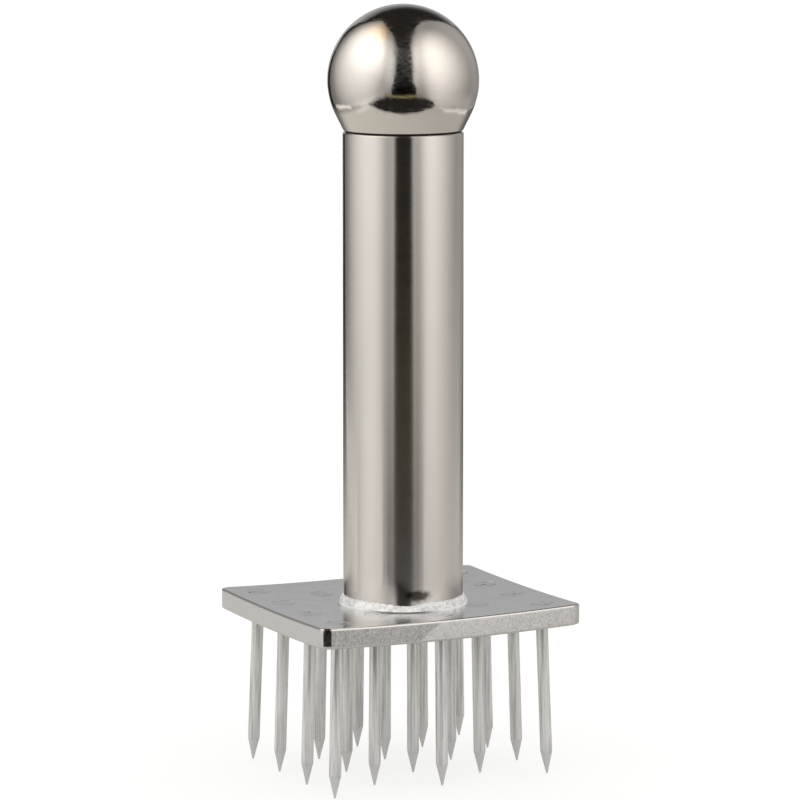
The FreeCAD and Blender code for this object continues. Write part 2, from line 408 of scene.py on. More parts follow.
dark_room, tree = empty_material("dark_room_behind_the_camera")
rising = ramp(tree, along(tree, UP), -0.1, 1.6, 0.002, 0.075)
place = add_node(tree, "ShaderNodeTexCoord").outputs["Object"]
shapes = noise(tree, place, 0.2, Detail=4.0)
uneven = ramp(tree, shapes, 0.38, 0.62, 0.25, 1.6)
amount = maths(tree, "MULTIPLY", rising, uneven)
glow_with(tree, "FFFEFC", amount)
card("camera_end", dark_room, oblong(-1.5, 1.5, PIT, CEILING), front=CAMERA_END)
print("dark end", CAMERA_END, "m in front of the tool")

# %% Black cards
black = plain_light("black_flock", "262422")
room_from, room_to = CAMERA_END + 0.1, BACK_WALL - 0.1
card("ceiling", black, oblong(room_from, room_to, 8, -8), up=CEILING)
card("pit", black, oblong(room_from, room_to, 1.5, -1.5), up=PIT)
card("left_gap", black, [
    (-0.45, -0.14), (-1.18, -0.14), (-1.18, 0.10), (-0.74, 0.30), (-1.00, 0.42), (-0.66, 0.60),
    (-0.54, 0.80), (-0.54, 1.17), (-0.40, 1.32), (-0.10, 1.45), (-0.10, 1.20)],
    right=LEFT_SIDE - 0.004)
card("corner_rail", black, oblong(-0.2, 0.2, -0.03, 0.01), front=0.35)
card("right_gap", black, [(-1.08, -0.16), (-1.2, -0.16), (-1.2, 0.5), (-0.90, 0.5)],
     right=RIGHT_SIDE + 0.004)
card("back_wall_top", black, oblong(-3, 3, 1.2, CEILING), front=BACK_WALL - 0.05)
print("ceiling at", CEILING, "m")

# %% Grey backdrop
# It is brightest at the bottom and fades upwards, a little sooner at the right.
backdrop, tree = empty_material("grey_backdrop")
tilted = maths(tree, "MULTIPLY_ADD", along(tree, TO_RIGHT), 0.35, along(tree, UP))
fade = eased(tree, tilted, 0.30, 1.25, 0.5, 0.03)
glow_with(tree, "FDFDFF", fade)
card("backdrop", backdrop, oblong(-2, 2, -0.1, 1.25), front=BACK_WALL)
card("ledge", plain_light("olive_ledge", "8F8364"), oblong(-0.335, 0.35, -0.078, -0.03), front=0.62)
print("backdrop", -BACK_WALL, "m behind the tool")

# %% Boards and small lights at the feet of the diffusers
SHINE_Z = -0.3 * MM  # just above the table top

foot_light = plain_light("lamp_at_the_foot", "FFFDF8", 1.4)
board = plain_light("dull_base_board", "B0ACA6")
shine = plain_light("shine_on_the_table", "FFFDF8", 0.85)
card("left_foot_light", foot_light, [
    (-0.40, 0.029), (-0.17, 0.029), (-0.06, 0.014), (-0.037, 0.007), (-0.037, -0.003),
    (-0.08, 0.005), (-0.17, 0.015), (-0.40, 0.017)], right=LEFT_SIDE + 0.003)
card("left_board", board, [
    (0.28, -0.088), (0.129, -0.023), (-0.037, 0.012), (-0.17, 0.0306), (-0.36, 0.032),
    (-0.36, -0.10), (0.28, -0.10)], right=LEFT_SIDE + 0.002)
card("right_board", board, [
    (0.02, -0.004), (-0.26, 0.0115), (-0.90, 0.02), (-0.90, -0.05), (0.02, -0.05)],
    right=RIGHT_SIDE - 0.002)
card("table_shine", shine, [
    (0.15, 0.253), (0.04, 0.252), (-0.07, 0.292), (-0.30, 0.300), (-0.36, 0.34), (-0.30, 0.348),
    (-0.07, 0.335), (0.04, 0.285)], up=SHINE_Z)
card("left_table_shine", shine, [
    (0.17, -0.235), (0.175, -0.265), (0.10, -0.295), (0.02, -0.290), (-0.01, -0.265),
    (0.05, -0.240)], up=SHINE_Z)

# %% [markdown]
# ## Steel finishes
# All pieces are the same 304 stainless steel, a slightly warm grey metal. What differs is the last
# tool that touched each one, and that is a matter of roughness, bump and grain direction.
# Noise that is drawn out one way stands for the marks of a tool. An image of scratches would do
# too, but it would need unwrapped pieces, and noise fits a round piece and a flat one alike.

# %% Start of a finish, marks of a tool, and its surface


def finish(name):
    """A new metal: material, tree, the piece's own place in millimetres, and the shader.

    In millimetres the scale of a noise is one over a real size.
    """
    material, tree = empty_material(name)
    place = add_node(tree, "ShaderNodeTexCoord").outputs["Object"]
    mm = vectors(tree, "SCALE", place, Scale=1 / MM)
    shader = add_node(tree, "ShaderNodeBsdfPrincipled", {"Metallic": 1.0})
    add_node(tree, "ShaderNodeOutputMaterial", {"Surface": shader})
    return material, tree, mm, shader


def tool_marks(tree, mm, scale, turn=(0, 0, 0), **more):
    """Noise with its own scale along x, y and z, which draws it out into marks."""
    way = add_node(tree, "ShaderNodeMapping", {"Vector": mm, "Rotation": turn, "Scale": scale})
    return noise(tree, way, 1.0, **more)


def surface(shader, colour, roughness, *bumps, **more):
    """Gives a shader its colour, roughness and relief, and more of its inputs by name.

    A colour may be a pattern and the two that it mixes, and a roughness a pattern and the two that
    it runs between. A bump is a pattern, a strength and a depth in millimetres, and may go "down".
    """
    tree = shader.id_data
    if isinstance(colour, tuple):
        colour = blend(tree, *colour)
    if isinstance(roughness, tuple):
        pattern, smooth, rough = roughness
        roughness = ramp(tree, pattern, 0.3, 0.7, smooth, rough)
    normal = {}
    for pattern, strength, depth, *way in bumps:
        normal = {"Normal": add_node(tree, "ShaderNodeBump", {
            "Height": pattern, "Strength": strength, "Distance": depth * MM, **normal},
            invert="down" in way)}
    feed(shader, {"Base Color": colour, "Roughness": roughness, **normal, **more})


print("finishes are ready")

# %% Mirror-buffed ball
# Buffed on a soft wheel. It mirrors the room with soft-edged reflections, and the wheel leaves
# shallow waves that bend straight lines and hair-fine swirls that catch the light.
mirror_steel, tree, mm, steel = finish("stainless_mirror_buffed")
waves = noise(tree, mm, 6.0, Detail=2.5, Roughness=0.5)
swirls = tool_marks(tree, mm, (0.15, 1.2, 3.0), (0.5, 0.3, 0.6), Detail=4.0, Roughness=0.6,
                    Distortion=0.4)
gloss = ramp(tree, swirls, 0.40, 0.72, 0.05, 0.24)
surface(steel, "E0DBD5", gloss, (waves, 1.0, 0.06), (swirls, 0.8, 0.012))

# %% Satin tube
# Ground on a fine belt while it turned, so lines too fine to see run round it. They blur
# reflections up and down but hardly sideways, which is why the bands of light along the tube keep
# crisp edges. The anisotropy does that: the tangent runs round the tube, and a quarter turn sets
# the blur upright.
satin_steel, tree, mm, steel = finish("stainless_satin_belt_ground")
lines = tool_marks(tree, mm, (0.10, 0.10, 2.4), Detail=5.0, Roughness=0.6)
patches = noise(tree, mm, 16.0, Detail=2.0)
tone = blend(tree, patches, "E2DED8", "E8E4DF")
round_axis = add_node(tree, "ShaderNodeTangent", direction_type="RADIAL", axis="Z")
feed(steel, {"Anisotropic": 0.9, "Anisotropic Rotation": 0.25, "Tangent": round_axis})

# %% Dark patch on the tube
# A dark grey patch sits on the tube beside the weld. Its edge is ragged.
DARK_PATCH_TURN = math.radians(14.0)  # from the side that faces the camera, to its right
DARK_PATCH_Z = 50.0 * MM
DARK_PATCH_HALF_WIDTH = 4.4
DARK_PATCH_HALF_HEIGHT = 1.8

dark_patch_place = HANDLE + UP * DARK_PATCH_Z + TUBE_RADIUS * (
    TO_CAMERA * math.cos(DARK_PATCH_TURN) + TO_RIGHT * math.sin(DARK_PATCH_TURN))
dark_patch_shape = (1 / DARK_PATCH_HALF_WIDTH, 1 / DARK_PATCH_HALF_WIDTH, 1 / DARK_PATCH_HALF_HEIGHT)
from_dark_patch = vectors(tree, "SUBTRACT", mm, dark_patch_place / MM)
dark_patch_way = vectors(tree, "MULTIPLY", from_dark_patch, dark_patch_shape)
dark_patch_far = vectors(tree, "LENGTH", dark_patch_way)
ragged = noise(tree, mm, 1.2, Detail=3.0)
dark_patch_edge = maths(tree, "MULTIPLY_ADD", ragged, 0.7, dark_patch_far)
dark_patch = eased(tree, dark_patch_edge, 0.75, 1.45, 1.0, 0.0)
surface(steel, (dark_patch, tone, "6E6961"), (lines, 0.17, 0.20), (patches, 0.5, 0.05))
print("dark_patch", round(dark_patch_place.z / MM, 1), "mm up")

# %% Ground plate
# Flattened on a surface grinder and wiped with an abrasive pad. It is an even, cool grey in which
# the tube mirrors softly, with slight waves and faint wiping lines.
ground_steel, tree, mm, steel = finish("stainless_surface_ground")
clouds = noise(tree, mm, 5.0, Detail=5.0, Roughness=0.62)
wipes = tool_marks(tree, mm, (0.12, 1.6, 1.0), (0, 0, 0.5), Detail=4.0, Roughness=0.6)
surface(steel, (clouds, "C2C2C2", "F4F4F4"), (clouds, 0.17, 0.24),
        (clouds, 1.0, 0.03), (wipes, 0.4, 0.006))

# %% Plug welds
# Weld metal ground flush with the plate. The same grinder made the same grey, but gas left small
# craters in it, which are coloured near black.
plug_steel, tree, mm, steel = finish("stainless_plug_weld_ground")
clouds = noise(tree, mm, 1.6, Detail=3.0)
craters = add_node(tree, "ShaderNodeTexVoronoi", {"Vector": mm, "Scale": 1 / 3.6})
hollow = maths(tree, "MULTIPLY_ADD", clouds, 0.22, craters)
crater = eased(tree, hollow, 0.17, 0.26, 1.0, 0.0)
surface(steel, (crater, "D9D9D8", "3E3B38"), (clouds, 0.18, 0.28),
        (crater, 1.0, 0.22, "down"), (clouds, 0.8, 0.03))

# %% Long cut edges of the plate
# Sawn and rubbed down with a flap wheel held upright, which leaves short upright marks and a
# mottled grey. One stretch was gone over again and is lighter, with a slanting end. The skin is
# frosted, which a share of plain diffuse light stands for.
PATCH_FROM, PATCH_TO = -8.0, 14.0  # millimetres along the plate
PATCH_START_BLUR, PATCH_END_BLUR = 0.6, 5.0
PATCH_SLANT, PATCH_WANDER = -1.6, 5.0
PATCH_LIGHTER = 0.45
PATCH_LEFT_OVER = -0.20  # what its far end takes off again
HALFWAY_UP = 43.0  # millimetres, where the patch keeps its own place
PATCH_SHIFT = PATCH_SLANT * HALFWAY_UP + PATCH_WANDER / 2

sawn_steel, tree, mm, steel = finish("stainless_sawn_edge")
marks = tool_marks(tree, mm, (3.8, 3.8, 1.7), (0, 0.12, 0), Detail=5.0, Roughness=0.65)
blotches = noise(tree, mm, 7.0, Detail=2.0)
parts = add_node(tree, "ShaderNodeSeparateXYZ", {0: mm}).outputs
slant = maths(tree, "MULTIPLY_ADD", parts["Z"], PATCH_SLANT, parts["X"])
wander = maths(tree, "MULTIPLY_ADD", blotches, PATCH_WANDER, slant)
patch_start, patch_end = (
    ramp(tree, wander, middle + PATCH_SHIFT - blur, middle + PATCH_SHIFT + blur)
    for middle, blur in ((PATCH_FROM, PATCH_START_BLUR), (PATCH_TO, PATCH_END_BLUR)))
patch = maths(tree, "MULTIPLY_ADD", patch_end, PATCH_LEFT_OVER, patch_start)
mottle = ramp(tree, marks, 0.36, 0.64, 0.05, 0.72)
lighter = maths(tree, "MULTIPLY_ADD", patch, PATCH_LIGHTER, mottle)
surface(steel, (lighter, "A6A5A4", "F6F5F4"), 0.45, (marks, 0.6, 0.06), Metallic=0.75)

# %% Short ends of the plate
# Linished on a fine belt. It is an even, light satin with the faintest lines along it.
end_steel, tree, mm, steel = finish("stainless_linished_end")
belt = tool_marks(tree, mm, (0.3, 0.3, 2.5), Detail=4.0, Roughness=0.6)
surface(steel, (belt, "E0E0E1", "EAEAEB"), 0.5, (belt, 0.3, 0.02))

# %% Polished edges and corners
# The edges and corners were broken on a hard felt wheel. They are almost mirrors, a little ragged,
# and show as bright and black lines.
edge_steel, tree, mm, steel = finish("stainless_felt_polished_edge")
ragged = noise(tree, mm, 0.9, Detail=3.0)
surface(steel, "DEDCD9", (ragged, 0.1, 0.2), (ragged, 0.8, 0.04))

# %% Weld bead
# Weld metal that was dressed with a file and brushed bright. Its skin is silvery: the wire brush
# left pinpoint flats that look every way, so it gathers light from all round and is white even
# where the tube above it is dark. Each stroke of the file left a larger flat at its own angle.
# The skin is frosted as well, and a share of plain diffuse light stands for that.


def tilted_cells(tree, place, cell, tilt, normal):
    """A normal that leans its own way in each cell. The cell is a size in millimetres."""
    cells = add_node(tree, "ShaderNodeTexVoronoi", {"Vector": place, "Scale": 1 / cell})
    centred = vectors(tree, "SUBTRACT", cells.outputs["Color"], (0.5, 0.5, 0.5))
    lean = vectors(tree, "SCALE", centred, Scale=tilt)
    total = vectors(tree, "ADD", normal, lean)
    return vectors(tree, "NORMALIZE", total)


weld_steel, tree, mm, steel = finish("stainless_weld_brushed_bright")
plain_normal = add_node(tree, "ShaderNodeNewGeometry").outputs["Normal"]
filed = tilted_cells(tree, mm, 1.3, 0.6, plain_normal)
brushed = tilted_cells(tree, mm, 0.2, 0.6, filed)
feed(steel, {"Base Color": "FFFFFE", "Metallic": 0.38, "Roughness": 0.4,
             "Normal": brushed})

# %% Drawn pins
# Wire pulled through a die, which leaves long lines down the pin. The points were ground on a
# wheel afterwards, so there the marks run round and the metal is a little duller. A share of plain
# diffuse light stands for the frosted skin that the die leaves.
pin_steel, tree, mm, steel = finish("stainless_drawn_wire")
lines = tool_marks(tree, mm, (1.5, 1.5, 0.04), Detail=4.0, Roughness=0.6)
rings = tool_marks(tree, mm, (0.5, 0.5, 1.2), Detail=3.0)
height = add_node(tree, "ShaderNodeSeparateXYZ", {0: mm}).outputs["Z"]
on_point = ramp(tree, height, 5.0, 6.2, 1.0, 0.0)
texture = add_node(tree, "ShaderNodeMix", {"Factor": on_point, "A": lines, "B": rings})
streaks = ramp(tree, lines, 0.36, 0.56)
drawn = blend(tree, streaks, "D4D3D2", "FFFFFE")
surface(steel, (on_point, drawn, "FAFAF9"), (texture, 0.15, 0.28), (texture, 0.5, 0.05),
        Metallic=0.55)

# %% Turned steel
# Faced on a lathe. It sits out of sight inside the handle.
turned_steel, tree, mm, steel = finish("stainless_lathe_turned")
grooves = add_node(tree, "ShaderNodeTexWave", {"Vector": mm, "Scale": 1.5, "Distortion": 0.3},
                   bands_direction="Z")
surface(steel, "C4C0BA", 0.3, (grooves.outputs["Fac"], 0.5, 0.02))
print("metals:", len([m for m in bpy.data.materials if m.name.startswith("stainless")]))

# %% Dark seam
# The groove below the ball is coloured a speckled near-black brown.
dark_seam, tree, mm, seam_shader = finish("dark_seam_groove")
seam_speckle = noise(tree, mm, 0.5, Detail=3.0)
surface(seam_shader, (seam_speckle, "1A120C", "443226"), 0.6, Metallic=0.0)

# %% Painted shadow at the toe of the weld
# A grey line painted into the corner between bead and plate stands for the shade there. It is
# darkest where the run began and fades out to bare bright weld metal on both sides.
toe_place = HANDLE + UP * dish_z(0, HANDLE.y) + TUBE_RADIUS * TO_CAMERA

painted_toe_shadow, tree, mm, toe_shader = finish("painted_shadow_at_the_weld_toe")
from_start = vectors(tree, "DISTANCE", mm, toe_place / MM)
shadow_fade = eased(tree, from_start, 4.0, 11.0)
surface(toe_shader, (shadow_fade, "7C7670", "FFFFFE"), 0.8, Metallic=0.0)
print("dark_seam_and_painted_toe_shadow:", dark_seam.name, "and", painted_toe_shadow.name)

# %% [markdown]
# ## Turned pieces
# The ball and the tube are round, so each is one profile swept round the handle's axis. A spin in
# Blender would do, but a short function makes rings of points and joins them, which keeps the poles
# closed and gives full control over the number of faces.

# %% Sweep a closed profile round an axis


def join_object(name, mesh, *materials):
    """A linked object for a mesh, with its materials."""
    for material in materials:
        mesh.materials.append(material)
    piece = bpy.data.objects.new(name, mesh)
    bpy.context.scene.collection.objects.link(piece)
    return piece


def turned_mesh(name, profile, steps, sharp_angle=30.0, axis=Vector()):
    """Mesh of a closed profile of (radius, height) points swept round. Radius 0 is a pole."""
    built = bmesh.new()
    angles = [math.tau * step / steps for step in range(steps)]
    rings = []
    for radius, height in profile:
        if radius == 0:
            rings.append([built.verts.new((axis.x, axis.y, height))] * steps)
        else:
            rings.append([built.verts.new((axis.x + radius * math.cos(a),
                                           axis.y + radius * math.sin(a), height))
                          for a in angles])
    for ring, next_ring in zip(rings, rings[1:] + rings[:1]):
        for step in range(steps):
            after = (step + 1) % steps
            corners = [ring[step], ring[after], next_ring[after], next_ring[step]]
            distinct = list(dict.fromkeys(corners))
            if len(distinct) > 2:
                built.faces.new(distinct)
    bmesh.ops.recalc_face_normals(built, faces=built.faces)
    mesh = bpy.data.meshes.new(name)
    built.to_mesh(mesh)
    built.free()
    mesh.shade_smooth()
    mesh.set_sharp_from_angle(angle=math.radians(sharp_angle))
    return mesh


def arc(radius, centre_z, start, end, steps):
    """Points of an arc about the axis, from one angle above the horizon to another, in radians."""
    angles = [start + (end - start) * step / steps for step in range(steps + 1)]
    return [(max(radius * math.cos(a), 0.0), centre_z + radius * math.sin(a)) for a in angles]


print("sweeps are ready")

# %% [markdown]
# ### The ball
# Two pressed half shells welded and buffed until the joint is gone, with a short straight skirt
# that stands on the tube. Its lower edge is broken, and with the chamfer of the tube it makes the
# dark groove of the seam.

# %% Ball knob
BALL_STEPS = 192
BALL_ROWS = 96
ZENITH = math.pi / 2

rim_radius = TUBE_RADIUS - RIM_SETBACK
drop = BALL_CENTRE_Z - SEAM_Z
skirt_angle = math.atan2(SKIRT_LENGTH, BALL_RADIUS) - math.atan2(drop, rim_radius)
inner_radius = BALL_RADIUS - BALL_WALL
outer = arc(BALL_RADIUS, BALL_CENTRE_Z, ZENITH, skirt_angle, BALL_ROWS)
inner = arc(inner_radius, BALL_CENTRE_Z, skirt_angle, ZENITH, BALL_ROWS // 2)
outer[0] = (0, BALL_CENTRE_Z + BALL_RADIUS)
inner[-1] = (0, BALL_CENTRE_Z + inner_radius)
groove = [(rim_radius - RIM_CHAMFER * math.sin(skirt_angle),
           SEAM_Z + RIM_CHAMFER * math.cos(skirt_angle)),
          (rim_radius - RIM_CHAMFER, SEAM_Z),
          ((inner_radius + drop * math.sin(skirt_angle)) / math.cos(skirt_angle), SEAM_Z)]
groove_top, groove_inside = groove[0][1], groove[2][0]
ball_mesh = turned_mesh("ball", outer + groove + inner, BALL_STEPS, axis=HANDLE)
ball = join_object("ball", ball_mesh, mirror_steel, dark_seam)
for face in ball_mesh.polygons:
    from_axis = math.hypot(face.center.x - HANDLE.x, face.center.y - HANDLE.y)
    if face.center.z < groove_top and groove_inside < from_axis < rim_radius:
        face.material_index = 1
print("ball:", len(ball_mesh.polygons), "faces, skirt starts at",
      round(math.degrees(skirt_angle), 1), "degrees")

# %% [markdown]
# ### The tube
# Welded tube, cut to length and faced. Its foot is dressed to the dished plate, so the lowest rings
# are bent to the dish and the bend fades out upwards.

# %% Tube
TUBE_STEPS = 192
TUBE_ROWS = 24

bore = TUBE_RADIUS - TUBE_WALL
foot_z = dish_z(TUBE_RADIUS, HANDLE.y)
rise = SEAM_Z - TUBE_TOP_CHAMFER - foot_z
wall = [(TUBE_RADIUS, foot_z + rise * row / TUBE_ROWS) for row in range(TUBE_ROWS + 1)]
tube_profile = wall + [(TUBE_RADIUS - TUBE_TOP_CHAMFER, SEAM_Z), (bore, SEAM_Z), (bore, foot_z)]
tube_mesh = turned_mesh("tube", tube_profile, TUBE_STEPS, axis=HANDLE)
for vertex in tube_mesh.vertices:
    share = (SEAM_Z - vertex.co.z) / (SEAM_Z - foot_z)
    vertex.co.z += share * (dish_z(vertex.co.x, vertex.co.y) - foot_z)
tube = join_object("tube", tube_mesh, satin_steel)
print("tube", round(rise / MM, 2), "mm long to its chamfer")

# %% [markdown]
# ## Places of the pins
# The pins stand in staggered rows, and each one is square to the dished face. A grid of points with
# every other one left out gives the stagger. One Geometry Nodes tree sets its blank, which may be a
# pin, a plug weld or a drill, on those points, so they can't drift apart.

# %% Tree that repeats a blank on the pin places


def new_tree(name, **sockets):
    """A Geometry Nodes tree with named inputs: the tree, those inputs and its output node."""
    tree = bpy.data.node_groups.new(name, "GeometryNodeTree")
    tree.interface.new_socket("Geometry", in_out="OUTPUT", socket_type="NodeSocketGeometry")
    for kind, names in sockets.items():
        for socket_name in names:
            tree.interface.new_socket(socket_name, in_out="INPUT", socket_type="NodeSocket" + kind)
    return tree, tree.nodes.new("NodeGroupInput").outputs, tree.nodes.new("NodeGroupOutput")


pin_tree, given, result = new_tree(
    "on_the_pin_places", Object=["Blank"], Material=["Finish"], Int=["Rows", "Places in a row"],
    Float=["Rows span", "Row length", "Dish radius", "Dish centre height", "Length of the blank",
           "Unevenness"])
tree = pin_tree
grid = add_node(tree, "GeometryNodeMeshGrid", {
    "Size X": given["Rows span"], "Size Y": given["Row length"],
    "Vertices X": given["Rows"], "Vertices Y": given["Places in a row"]})
index = add_node(tree, "GeometryNodeInputIndex")
odd = add_node(tree, "FunctionNodeIntegerMath", {0: index, 1: 2}, operation="MODULO")
staggered = add_node(tree, "GeometryNodeDeleteGeometry", {"Geometry": grid, "Selection": odd})
flat_place = add_node(tree, "GeometryNodeInputPosition")
distance = vectors(tree, "LENGTH", flat_place)
radius_squared, distance_squared = (
    maths(tree, "POWER", size, 2.0) for size in (given["Dish radius"], distance))
under = maths(tree, "SUBTRACT", radius_squared, distance_squared)
depth = maths(tree, "SQRT", under)
height = maths(tree, "SUBTRACT", given["Dish centre height"], depth)
lift = add_node(tree, "ShaderNodeCombineXYZ", {"Z": height})
on_dish = add_node(tree, "GeometryNodeSetPosition", {"Geometry": staggered, "Offset": lift})
centre = add_node(tree, "ShaderNodeCombineXYZ", {"Z": given["Dish centre height"]})
place = add_node(tree, "GeometryNodeInputPosition")
lean = vectors(tree, "SUBTRACT", centre, place)
turn = add_node(tree, "FunctionNodeAlignRotationToVector", {"Vector": lean}, axis="Z")
print("places:", len(tree.nodes), "nodes so far")

# %% Stretch the blank to the floor, set it on the places and finish it
LUMP_SIZE = 2.4 * MM

unit = vectors(tree, "NORMALIZE", lean)
unit_parts, place_parts = (add_node(tree, "ShaderNodeSeparateXYZ", {0: vector})
                           for vector in (unit, place))
reach = maths(tree, "DIVIDE", place_parts.outputs["Z"], unit_parts.outputs["Z"])
stretch = maths(tree, "DIVIDE", reach, given["Length of the blank"])
is_long = add_node(tree, "FunctionNodeCompare", {0: given["Length of the blank"], 1: 0.0},
                   data_type="FLOAT", operation="GREATER_THAN")
scale_z = add_node(tree, "GeometryNodeSwitch", {"Switch": is_long, "False": 1.0, "True": stretch},
                   input_type="FLOAT")
scale = add_node(tree, "ShaderNodeCombineXYZ", {"X": 1.0, "Y": 1.0, "Z": scale_z})
blank = add_node(tree, "GeometryNodeObjectInfo", {"Object": given["Blank"]}).outputs["Geometry"]
copies = add_node(tree, "GeometryNodeInstanceOnPoints", {
    "Points": on_dish, "Instance": blank, "Rotation": turn, "Scale": scale})
real = add_node(tree, "GeometryNodeRealizeInstances", {"Geometry": copies})
own_place = add_node(tree, "GeometryNodeInputPosition")
lumps = noise(tree, own_place, LUMP_SIZE, Detail=1.0)
lump = ramp(tree, lumps, 0.25, 0.75, -1.0, 1.0, clamp=False)
shift = maths(tree, "MULTIPLY", lump, given["Unevenness"])
shift_up = add_node(tree, "ShaderNodeCombineXYZ", {"Z": shift})
uneven = add_node(tree, "GeometryNodeSetPosition", {"Geometry": real, "Offset": shift_up})
finished = add_node(tree, "GeometryNodeSetMaterial", {
    "Geometry": uneven, "Material": given["Finish"]})
feed(result, {0: finished})
print("tree", pin_tree.name, "has", len(pin_tree.nodes), "nodes")

# %% Run a tree and keep the plain mesh


def made_by(tree, name, settings):
    """A plain mesh from a Geometry Nodes tree. Settings are given by the inputs' names."""
    host = bpy.data.objects.new(name + "_host", bpy.data.meshes.new(name + "_host"))
    bpy.context.scene.collection.objects.link(host)
    modifier = host.modifiers.new(name, "NODES")
    modifier.node_group = tree
    for item in tree.interface.items_tree:
        if item.in_out == "INPUT" and item.name in settings:
            modifier[item.identifier] = settings[item.name]
    graph = bpy.context.evaluated_depsgraph_get()
    mesh = bpy.data.meshes.new_from_object(host.evaluated_get(graph))
    mesh.name = name
    bpy.data.objects.remove(host)
    return mesh


def on_the_places(name, profile, steps, material, sharp_angle=30.0, length=0.0, unevenness=0.0):
    """One object with a turned blank on every pin place. A length stretches it to the floor."""
    blank = join_object(name + "_blank", turned_mesh(name + "_blank", profile, steps, sharp_angle),
                        material)
    mesh = made_by(pin_tree, name, {
        "Blank": blank, "Finish": material, "Rows": PIN_ROWS,
        "Places in a row": 2 * PINS_IN_FULL_ROW - 1,
        "Rows span": PLATE_LENGTH - 2 * PIN_END_MARGIN,
        "Row length": PLATE_WIDTH - 2 * PIN_SIDE_MARGIN,
        "Dish radius": DISH_RADIUS, "Dish centre height": DISH_CENTRE_Z,
        "Length of the blank": length, "Unevenness": unevenness})
    bpy.data.objects.remove(blank)
    return join_object(name, mesh)


print("rows", round((PLATE_LENGTH - 2 * PIN_END_MARGIN) / (PIN_ROWS - 1) / MM, 2), "mm apart")

# %% Pins
PIN_BLANK_LENGTH = 46.0 * MM
PIN_STEPS = 32
SHANK_ROWS = 16
PIN_SHARP_ANGLE = 12

shank_end = -PIN_BLANK_LENGTH + PIN_POINT_LENGTH
shank = [(PIN_RADIUS, -PLUG_DEPTH + (shank_end + PLUG_DEPTH) * row / SHANK_ROWS)
         for row in range(SHANK_ROWS + 1)]
point = [(PIN_TIP_RADIUS, -PIN_BLANK_LENGTH), (0, -PIN_BLANK_LENGTH)]
pins = on_the_places("pins", [(0, -PLUG_DEPTH)] + shank + point, PIN_STEPS, pin_steel,
                     PIN_SHARP_ANGLE, length=PIN_BLANK_LENGTH)
print("pins:", len(pins.data.polygons), "faces, tips at",
      round(min(v.co.z for v in pins.data.vertices) / MM, 3), "mm")

# %% [markdown]
# ### The plug welds
# Each pin is held by weld metal that fills a countersink and is ground flush. The grinder leaves a
# shallow groove round it, which rises and falls with the uneven metal, so its ring comes and goes.

# %% Plug welds
PLUG_STEPS = 48
PLUG_RINGS = 12
PLUG_GROOVE = 0.07 * MM
PLUG_UNEVENNESS = 0.07 * MM
PLUG_FLAT_SHARE, PLUG_BEND_SHARE = 0.94, 0.97  # of its radius, where the groove starts and bends

plug_profile = [(PLUG_RADIUS * PLUG_FLAT_SHARE * ring / PLUG_RINGS, 0.0)
                for ring in range(PLUG_RINGS + 1)]
plug_profile += [(PLUG_RADIUS * PLUG_BEND_SHARE, -PLUG_GROOVE / 3), (PLUG_RADIUS, -PLUG_GROOVE),
                 (PIN_RADIUS, -PLUG_DEPTH), (0, -PLUG_DEPTH)]
plugs = on_the_places("plugs", plug_profile, PLUG_STEPS, plug_steel, unevenness=PLUG_UNEVENNESS)
print("plugs:", len(plugs.data.polygons), "faces")

# %% [markdown]
# ## The plate
# A slab with rounded corners, and a small flat on each corner where it was held to the wheel.
# A subdivided cube with a Bend would do, but the dish is a known ball, so a grid of points is laid
# out, its corners are rounded and each point gets its height.

# %% Outline of the plate
CELL = 0.8 * MM
CORNER_CELLS = 9
CORNER_FLAT_TURN = math.radians(26.8)  # from square to the long side
LEAST_COSINE = 0.1  # keeps points that are well off the flat where they are

inset_half = (PLATE_LENGTH / 2 - PLATE_EDGE_ROUND, PLATE_WIDTH / 2 - PLATE_EDGE_ROUND)
inset_corner = PLATE_CORNER_RADIUS - PLATE_EDGE_ROUND


def grid_stops(half):
    """Coordinates of the grid lines across a side: the straight part, then the corners."""
    straight = half - inset_corner
    cells = round(straight / CELL)
    stops = [straight * cell / cells for cell in range(cells + 1)]
    stops += [straight + inset_corner * cell / CORNER_CELLS for cell in range(1, CORNER_CELLS + 1)]
    return [-stop for stop in stops[:0:-1]] + stops


def rounded(x, y):
    """A grid point moved so that the square corner of the grid becomes the real one."""
    over_x = abs(x) - (inset_half[0] - inset_corner)
    over_y = abs(y) - (inset_half[1] - inset_corner)
    if over_x <= 0 or over_y <= 0:
        return x, y
    new_x = over_x * math.sqrt(1 - (over_y / inset_corner) ** 2 / 2)
    new_y = over_y * math.sqrt(1 - (over_x / inset_corner) ** 2 / 2)
    off_flat = math.pi / 2 - CORNER_FLAT_TURN - math.atan2(new_y, new_x)
    keep = min(1.0, math.cos(CORNER_FLAT_TURN) / max(math.cos(off_flat), LEAST_COSINE))
    return (math.copysign(abs(x) - over_x + new_x * keep, x),
            math.copysign(abs(y) - over_y + new_y * keep, y))


stops_x, stops_y = grid_stops(inset_half[0]), grid_stops(inset_half[1])
flat = [[rounded(x, y) for y in stops_y] for x in stops_x]
print("grid", len(stops_x), "x", len(stops_y), "points")

# %% Top face and underside
built = bmesh.new()


def face_grid(below, flip):
    """The top face, or the underside, over the whole grid. Gives its rim, anticlockwise."""
    grid = [[built.verts.new((x, y, dish_z(x, y, below))) for x, y in column] for column in flat]
    for column, next_column in zip(grid, grid[1:]):
        for row in range(len(column) - 1):
            corners = [column[row], next_column[row], next_column[row + 1], column[row + 1]]
            built.faces.new(corners[::-1] if flip else corners)
    last_x, last_y = len(grid) - 1, len(grid[0]) - 1
    return ([grid[i][0] for i in range(last_x)] + [grid[last_x][j] for j in range(last_y)]
            + [grid[i][last_y] for i in range(last_x, 0, -1)]
            + [grid[0][j] for j in range(last_y, 0, -1)])


